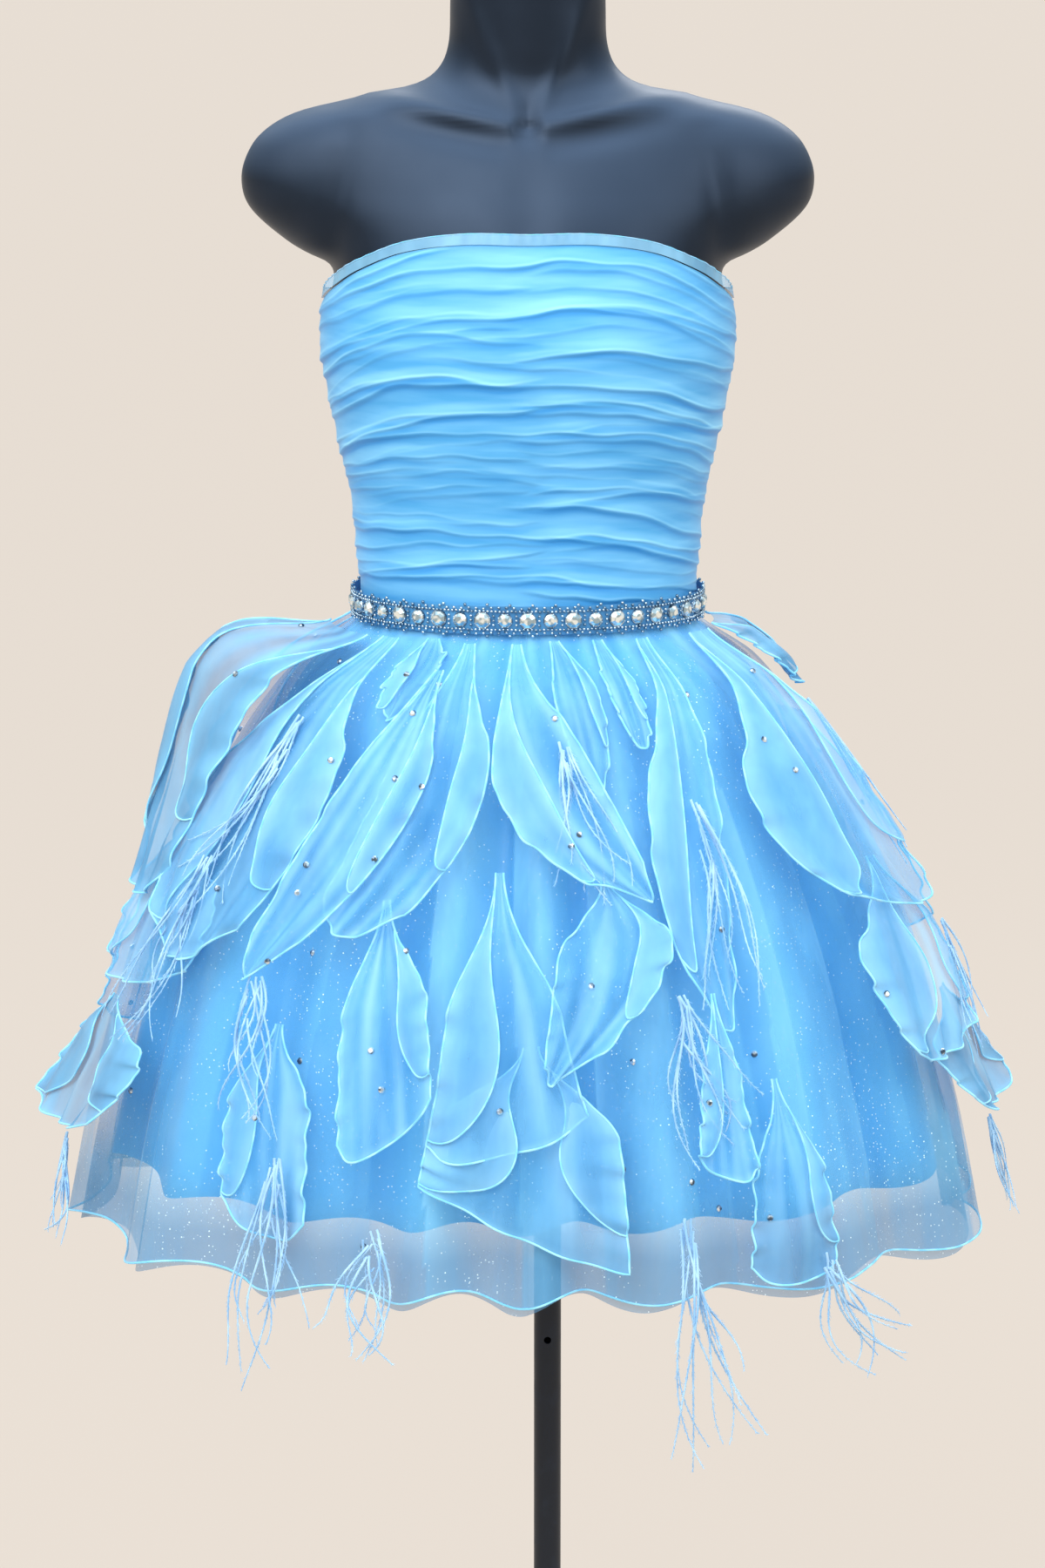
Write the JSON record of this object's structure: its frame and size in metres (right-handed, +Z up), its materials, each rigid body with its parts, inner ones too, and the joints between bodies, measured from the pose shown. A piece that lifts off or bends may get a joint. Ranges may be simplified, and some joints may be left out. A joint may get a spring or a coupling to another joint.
{
  "type": "strapless mini dress on a dress form",
  "caption": "Strapless mini dress with a ruched bodice, jewelled waist and layered ruffled skirt, worn by a limbless display form on a floor stand.",
  "frame": {"origin": "middle of the base plate's underside, on the pole's axis", "axes": "+Z up along the pole, -Y towards the front of the dress, +X towards the viewer's right when the front is seen"},
  "size_m": [0.679, 0.5389, 1.428],
  "materials": {
    "organza": "sheer pale blue silk organza, gathered and ruffled",
    "satin": "smooth sky blue satin lining",
    "tulle": "grey blue tulle with fine silver glitter",
    "feather": "pale blue and white feather strands",
    "crystal": "clear and silver cut stones with small beads",
    "form_plastic": "satin blue black moulded shell",
    "stand_steel": "satin black powder coat"
  },
  "bodies": {
    "root": {"stand_base": "stand_steel", "stand_pole": "stand_steel", "stand_socket": "stand_steel", "form_torso": "form_plastic", "bodice_front": "organza", "bodice_back_right": "organza", "bodice_back_left": "organza", "neck_binding": "organza", "jewelled_belt": "crystal", "skirt_organza": "organza", "skirt_tulle": "tulle", "skirt_satin": "satin", "ruffle_left_hip": "organza", "ruffle_left_side": "organza", "ruffle_left_small": "organza", "ruffle_left_leaf": "organza", "ruffle_left_leaf_under": "organza", "ruffle_left_cone": "organza", "ruffle_left_hem": "organza", "ruffle_front_leaf": "organza", "ruffle_front_small": "organza", "ruffle_front_fan": "organza", "ruffle_front_back_fan": "organza", "ruffle_front_low": "organza", "ruffle_right_small": "organza", "ruffle_right_leaf": "organza", "ruffle_right_cone": "organza", "ruffle_right_hem": "organza", "ruffle_right_side": "organza", "ruffle_right_hip": "organza", "ruffle_right_mid": "organza", "ruffle_right_low": "organza", "ruffle_left_mid": "organza", "ruffle_left_point": "organza", "ruffle_back_left_leaf": "organza", "ruffle_back_left_cone": "organza", "ruffle_back_leaf": "organza", "ruffle_back_cone": "organza", "ruffle_back_right_leaf": "organza", "ruffle_back_right_fan": "organza", "ruffle_back_side": "organza", "feather_left_hip": "feather", "feather_left_side": "feather", "feather_left_leaf": "feather", "feather_left_point": "feather", "feather_left_hem": "feather", "feather_front_left": "feather", "feather_front": "feather", "feather_front_right": "feather", "feather_right_leaf": "feather", "feather_right_cone": "feather", "feather_right_hip": "feather", "feather_right_side": "feather", "feather_right_low": "feather", "feather_right_hem": "feather", "feather_back_left": "feather", "feather_back": "feather", "feather_back_right": "feather"}
  },
  "joints": []
}
